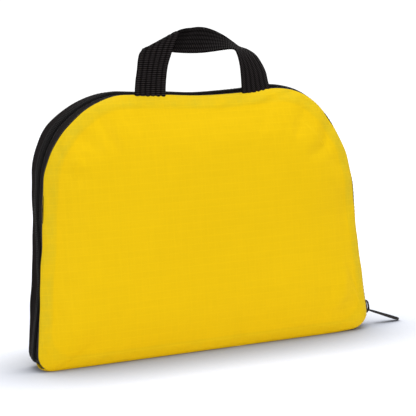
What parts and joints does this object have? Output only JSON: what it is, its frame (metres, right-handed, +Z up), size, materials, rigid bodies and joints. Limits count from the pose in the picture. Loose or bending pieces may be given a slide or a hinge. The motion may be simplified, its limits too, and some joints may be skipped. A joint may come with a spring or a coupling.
{
  "type": "foldable tote bag",
  "caption": "Foldable tote bag packed in its own D-shaped zip-round ripstop pouch, with a webbing carry handle, a zip slider with its pull tab, and the folded tote inside.",
  "frame": {"origin": "middle of the pouch's bottom edge, on the plane it stands on, halfway between its front and back seams", "axes": "+Z up, the front panel with the carry handle faces -Y, +X to the right with the zip slider and its pull"},
  "size_m": [0.3177, 0.0448, 0.2532],
  "materials": {
    "ripstop_yellow": "bright yellow ripstop polyester with a fine square grid, slightly satin",
    "tote_cloth": "the same yellow ripstop polyester, folded in layers",
    "zipper_tape": "black woven polyester tape, matt",
    "zipper_coil": "black nylon coil, slightly satin",
    "thread_black": "black polyester thread",
    "binding_black": "black woven binding tape",
    "webbing_black": "black polypropylene webbing with lengthwise ribs",
    "slider_metal": "dark grey painted zinc, satin",
    "spring_steel": "plain spring steel"
  },
  "bodies": {
    "pouch_back": {"back_panel": "ripstop_yellow", "base_gusset": "ripstop_yellow", "zipper_tape_back": "zipper_tape", "zipper_coil_back": "zipper_coil", "tape_stitching_back": "thread_black", "seam_binding_back": "binding_black", "zipper_end_bartacks": "thread_black", "tote_folded_body": "tote_cloth", "tote_strap_left": "webbing_black", "tote_strap_right": "webbing_black"},
    "pouch_front": {"front_panel": "ripstop_yellow", "zipper_tape_front": "zipper_tape", "zipper_coil_front": "zipper_coil", "tape_stitching_front": "thread_black", "seam_binding_front": "binding_black", "handle_anchor_ends": "webbing_black", "handle_backing_patches": "ripstop_yellow", "handle_bartacks": "thread_black"},
    "carry_handle": {"handle_webbing": "webbing_black"},
    "zip_slider": {"slider_body": "slider_metal", "slider_bridge": "slider_metal", "slider_lock_spring": "spring_steel"},
    "zip_pull": {"pull_tab": "slider_metal"},
    "tote_top": {"tote_upper_fold": "tote_cloth"},
    "tote_bottom": {"tote_lower_fold": "tote_cloth"}
  },
  "joints": [
    {"name": "cover_open", "type": "hinge", "parent": "pouch_back", "child": "pouch_front", "pos_m": [0, -0.014, 0], "axis": [1, 0, 0], "range_deg": [0, 180]},
    {"name": "handle_swing", "type": "hinge", "parent": "pouch_front", "child": "carry_handle", "pos_m": [0.005, -0.0144, 0.2052], "axis": [1, 0, 0], "range_deg": [-40, 130]},
    {"name": "slider_travel", "type": "slide", "parent": "pouch_back", "child": "zip_slider", "axis": [-0.1011, 0, 0.9949], "range_m": [0, 0.115]},
    {"name": "pull_swing", "type": "hinge", "parent": "zip_slider", "child": "zip_pull", "pos_m": [0.14681, 0, 0.01258], "axis": [0, 1, 0], "range_deg": [-108, 60]},
    {"name": "tote_top_unfold", "type": "hinge", "parent": "pouch_back", "child": "tote_top", "pos_m": [0, -0.0064, 0.1886], "axis": [1, 0, 0], "range_deg": [-180, 0]},
    {"name": "tote_bottom_unfold", "type": "hinge", "parent": "pouch_back", "child": "tote_bottom", "pos_m": [0, -0.0064, 0.0154], "axis": [1, 0, 0], "range_deg": [0, 108]}
  ],
  "couplings": [
    {"joint": "tote_top_unfold", "follows": "cover_open", "ratio": -1},
    {"joint": "tote_bottom_unfold", "follows": "cover_open", "ratio": 0.6}
  ]
}
